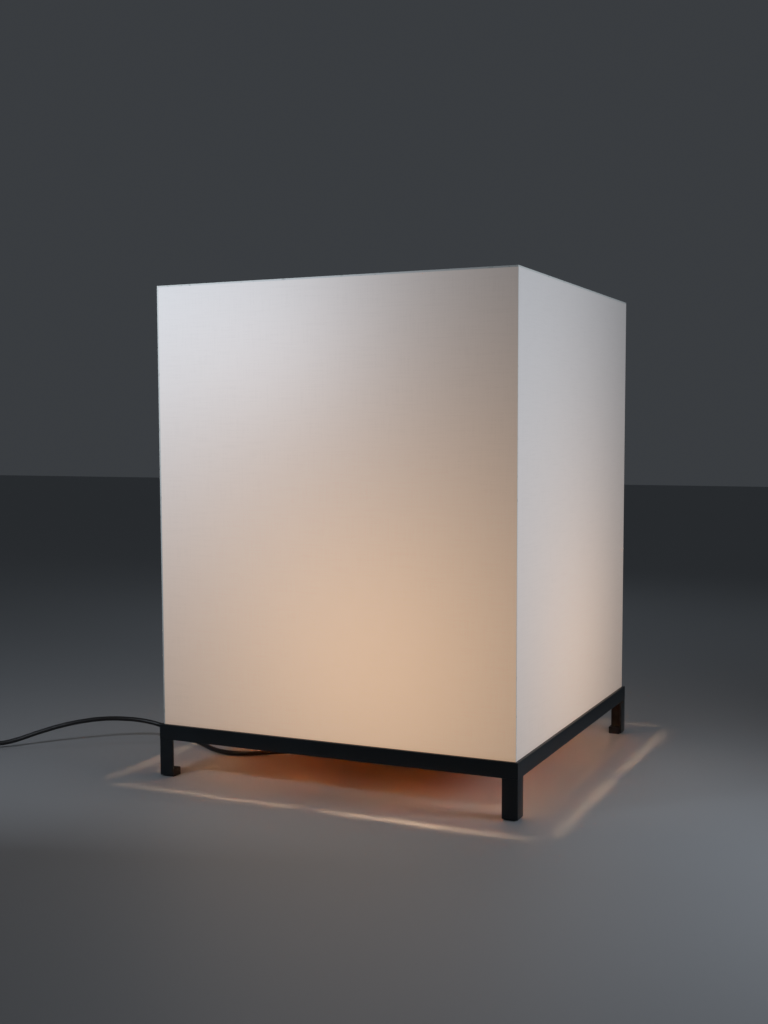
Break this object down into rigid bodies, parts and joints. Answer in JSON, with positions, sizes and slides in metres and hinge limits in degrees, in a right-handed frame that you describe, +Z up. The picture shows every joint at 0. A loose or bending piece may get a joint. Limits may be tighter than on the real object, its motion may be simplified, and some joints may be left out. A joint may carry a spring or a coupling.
{
  "type": "box floor lamp",
  "caption": "Box-shaped floor lamp: a translucent white shade standing on a low steel angle frame, lit from inside by an LED bulb, with a switched mains cord.",
  "frame": {"origin": "on the floor, in the middle of the four feet", "axes": "+Z up, -Y towards the front of the lamp, -X towards the side where the cord leaves"},
  "size_m": [0.9764, 0.5753, 0.645],
  "materials": {
    "frame_steel": "satin dark slate paint",
    "foot_rubber": "matte",
    "shade_sheet": "translucent white laminate with a fine linen look",
    "carcass_wire": "white satin paint",
    "amber_sheet": "translucent amber",
    "cover_paint": "white satin paint",
    "zinc_steel": "zinc plated",
    "holder_plastic": "black, lightly polished",
    "porcelain": "glazed white",
    "sleeve_brass": "plain",
    "bulb_tip_metal": "solder grey",
    "bulb_glass": "black glass",
    "cap_nickel": "nickel plated",
    "bulb_white": "white",
    "bulb_diffuser": "frosted, lit",
    "board_aluminium": "white solder mask",
    "led_phosphor": "yellow phosphor",
    "driver_green": "circuit board green",
    "cord_black": "smooth, satin",
    "relief_rubber": "matte",
    "lead_insulation": "brown and blue cores",
    "switch_plastic": "black, fine eroded texture",
    "rocker_plastic": "black",
    "plug_rubber": "black, moulded",
    "pin_nickel": "nickel plated",
    "tie_plastic": "black strip tie"
  },
  "bodies": {
    "base": {"bottom_panel": "amber_sheet", "centre_contact": "sleeve_brass", "coil_tie": "tie_plastic", "cord_coil": "cord_black", "cord_lead": "cord_black", "cord_link": "cord_black", "cord_tail": "cord_black", "cover_screws": "zinc_steel", "cross_bar": "frame_steel", "front_half_bar": "frame_steel", "front_left_foot": "foot_rubber", "front_left_leg": "frame_steel", "front_left_lug": "frame_steel", "front_rail": "frame_steel", "front_right_foot": "foot_rubber", "front_right_leg": "frame_steel", "front_right_lug": "frame_steel", "inner_leads": "lead_insulation", "lampholder_base": "holder_plastic", "lampholder_shell": "holder_plastic", "left_rail": "frame_steel", "lock_nut": "zinc_steel", "plug_body": "plug_rubber", "plug_pins": "pin_nickel", "porcelain_insert": "porcelain", "rear_half_bar": "frame_steel", "rear_left_foot": "foot_rubber", "rear_left_leg": "frame_steel", "rear_left_lug": "frame_steel", "rear_rail": "frame_steel", "rear_right_foot": "foot_rubber", "rear_right_leg": "frame_steel", "rear_right_lug": "frame_steel", "right_rail": "frame_steel", "strain_relief": "relief_rubber", "switch_lower_shell": "switch_plastic", "switch_screws": "zinc_steel", "switch_upper_shell": "switch_plastic", "threaded_nipple": "zinc_steel", "threaded_sleeve": "sleeve_brass", "wiring_box_cover": "cover_paint"},
    "shade": {"front_panel": "shade_sheet", "right_panel": "shade_sheet", "rear_panel": "shade_sheet", "left_panel": "shade_sheet", "top_panel": "shade_sheet", "bottom_wires": "carcass_wire", "top_wires": "carcass_wire", "corner_wires": "carcass_wire"},
    "bulb_tip": {"bulb_contact": "bulb_tip_metal"},
    "bulb": {"bulb_insulator": "bulb_glass", "bulb_screw_cap": "cap_nickel", "bulb_housing": "bulb_white", "bulb_globe": "bulb_diffuser", "led_board": "board_aluminium", "led_chips": "led_phosphor", "driver_board": "driver_green"},
    "rocker": {"switch_rocker": "rocker_plastic"}
  },
  "joints": [
    {"name": "shade_lift", "type": "slide", "parent": "base", "child": "shade", "axis": [0, 0, 1], "range_m": [0, 0.3]},
    {"name": "bulb_lift", "type": "slide", "parent": "base", "child": "bulb_tip", "axis": [0, 0, 1], "range_m": [0, 0.0146]},
    {"name": "bulb_turn", "type": "hinge", "parent": "bulb_tip", "child": "bulb", "pos_m": [0, 0, 0.16], "axis": [0, 0, 1], "range_deg": [0, 1440]},
    {"name": "rocker_press", "type": "hinge", "parent": "base", "child": "rocker", "pos_m": [-0.59051, -0.26151, 0.013], "axis": [-0.7071, 0.7071, 0], "range_deg": [0, 16]}
  ],
  "couplings": [
    {"joint": "bulb_lift", "follows": "bulb_turn", "m_per_rad": 0.00057773}
  ]
}
